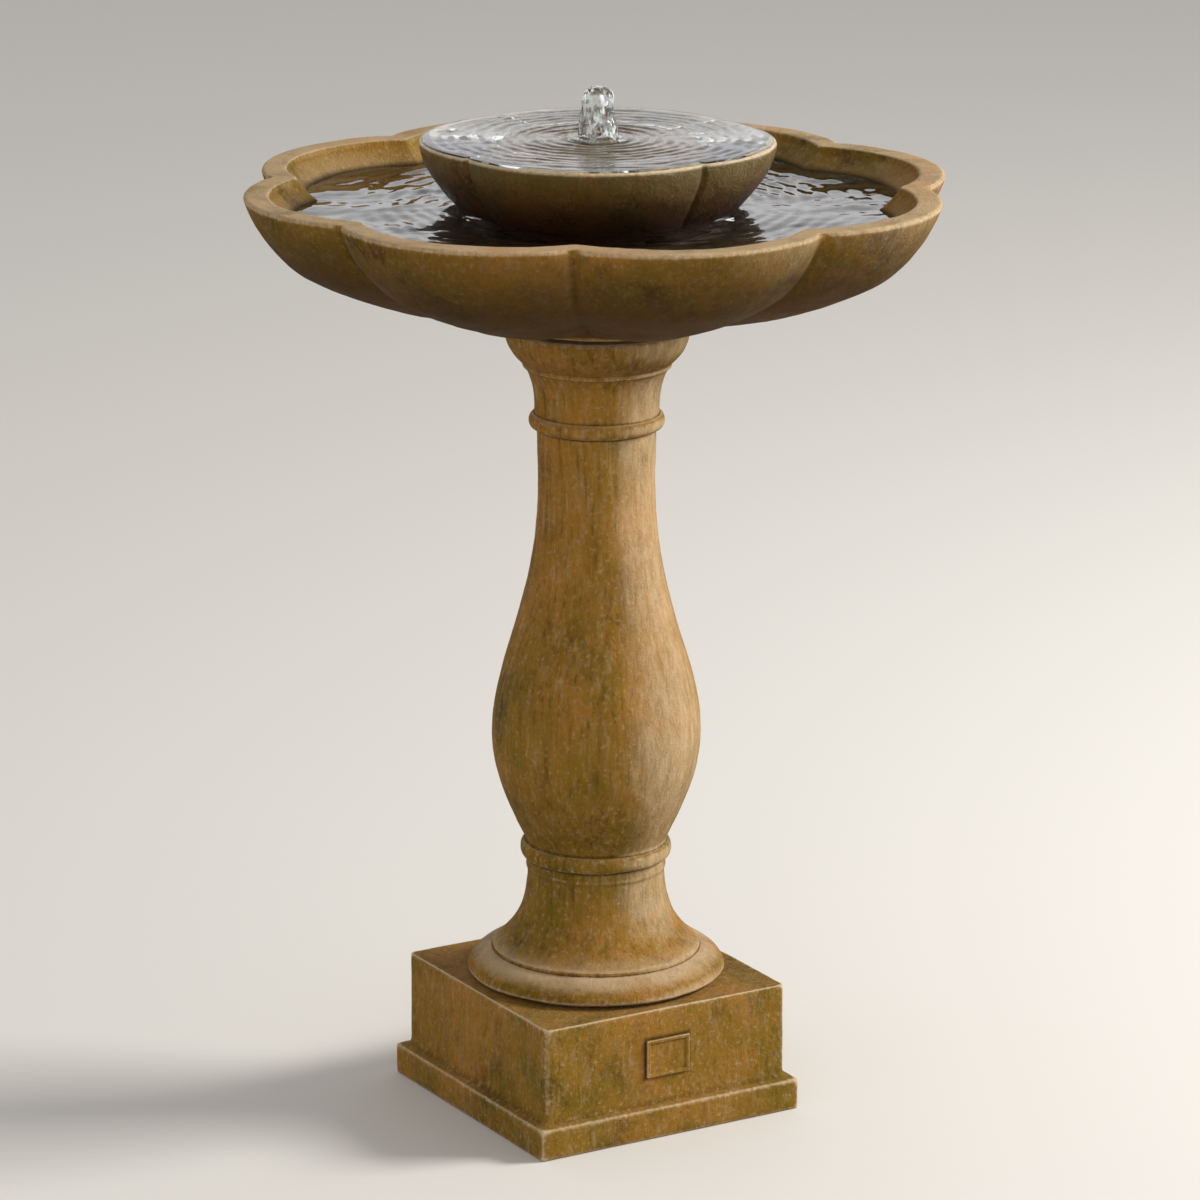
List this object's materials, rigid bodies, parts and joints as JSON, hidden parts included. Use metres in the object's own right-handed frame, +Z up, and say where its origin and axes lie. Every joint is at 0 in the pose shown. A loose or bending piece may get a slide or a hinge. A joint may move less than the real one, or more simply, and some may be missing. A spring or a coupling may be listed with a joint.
{
  "type": "pedestal bubbler fountain",
  "caption": "Cast-stone pedestal fountain: a baluster on a square base carries a lobed basin with a smaller lobed bubbler bowl over a hidden recirculating pump.",
  "frame": {"origin": "middle of the base's underside, on the ground", "axes": "+Z up, -Y towards the front face with the blank tablet, +X to the right of someone facing that face"},
  "size_m": [0.6014, 0.6014, 0.897],
  "materials": {
    "cast_stone": "aged brown cast stone, brushed stain",
    "wet_stone": "the same stone, wet and darker, mossy at the rim",
    "water": "clear water",
    "rubber": "matte black rubber",
    "brass": "dull brass",
    "clear_vinyl": "clear vinyl",
    "pump_plastic": "moulded black plastic",
    "impeller_plastic": "moulded light grey plastic",
    "resin": "cast black resin",
    "lamination_steel": "varnished laminations",
    "copper": "enamelled copper wire",
    "white_ceramic": "polished white ceramic",
    "ferrite": "dark grey ferrite",
    "foam": "open-cell black foam"
  },
  "bodies": {
    "stand": {"base_plinth": "cast_stone", "blank_tablet": "cast_stone", "lower_setting_pads": "rubber"},
    "column": {"pedestal_column": "cast_stone", "upper_setting_pads": "rubber"},
    "basin": {"basin": "cast_stone", "cord_stopper": "rubber", "bowl_pads": "rubber", "riser_tube": "clear_vinyl", "pump_housing": "pump_plastic", "stator_core": "lamination_steel", "winding_coil": "copper", "resin_back": "resin", "cord_gland": "rubber", "suction_feet": "rubber", "impeller_cover": "pump_plastic", "front_bearing": "white_ceramic", "rear_bearing": "white_ceramic", "rotor_shaft": "white_ceramic"},
    "bubbler": {"bubbler_bowl": "wet_stone", "riser_bushing": "rubber", "bubbler_nozzle": "brass", "water_jet": "water"},
    "rotor": {"rotor_magnet": "ferrite", "impeller": "impeller_plastic"},
    "strainer": {"strainer_cover": "pump_plastic", "filter_foam": "foam"},
    "flow_gate": {"flow_slide": "pump_plastic"}
  },
  "joints": [
    {"name": "column_lift", "type": "slide", "parent": "stand", "child": "column", "axis": [0, 0, 1], "range_m": [0, 0.3]},
    {"name": "basin_lift", "type": "slide", "parent": "column", "child": "basin", "axis": [0, 0, 1], "range_m": [0, 0.3]},
    {"name": "bubbler_lift", "type": "slide", "parent": "basin", "child": "bubbler", "axis": [0, 0, 1], "range_m": [0, 0.2]},
    {"name": "rotor_spin", "type": "hinge", "parent": "basin", "child": "rotor", "pos_m": [0, 0, 0.766], "axis": [1, 0, 0], "continuous": true},
    {"name": "strainer_pull", "type": "slide", "parent": "basin", "child": "strainer", "axis": [-1, 0, 0], "range_m": [0, 0.018]},
    {"name": "flow_adjust", "type": "slide", "parent": "strainer", "child": "flow_gate", "axis": [0, 0, 1], "range_m": [0, 0.016]}
  ]
}
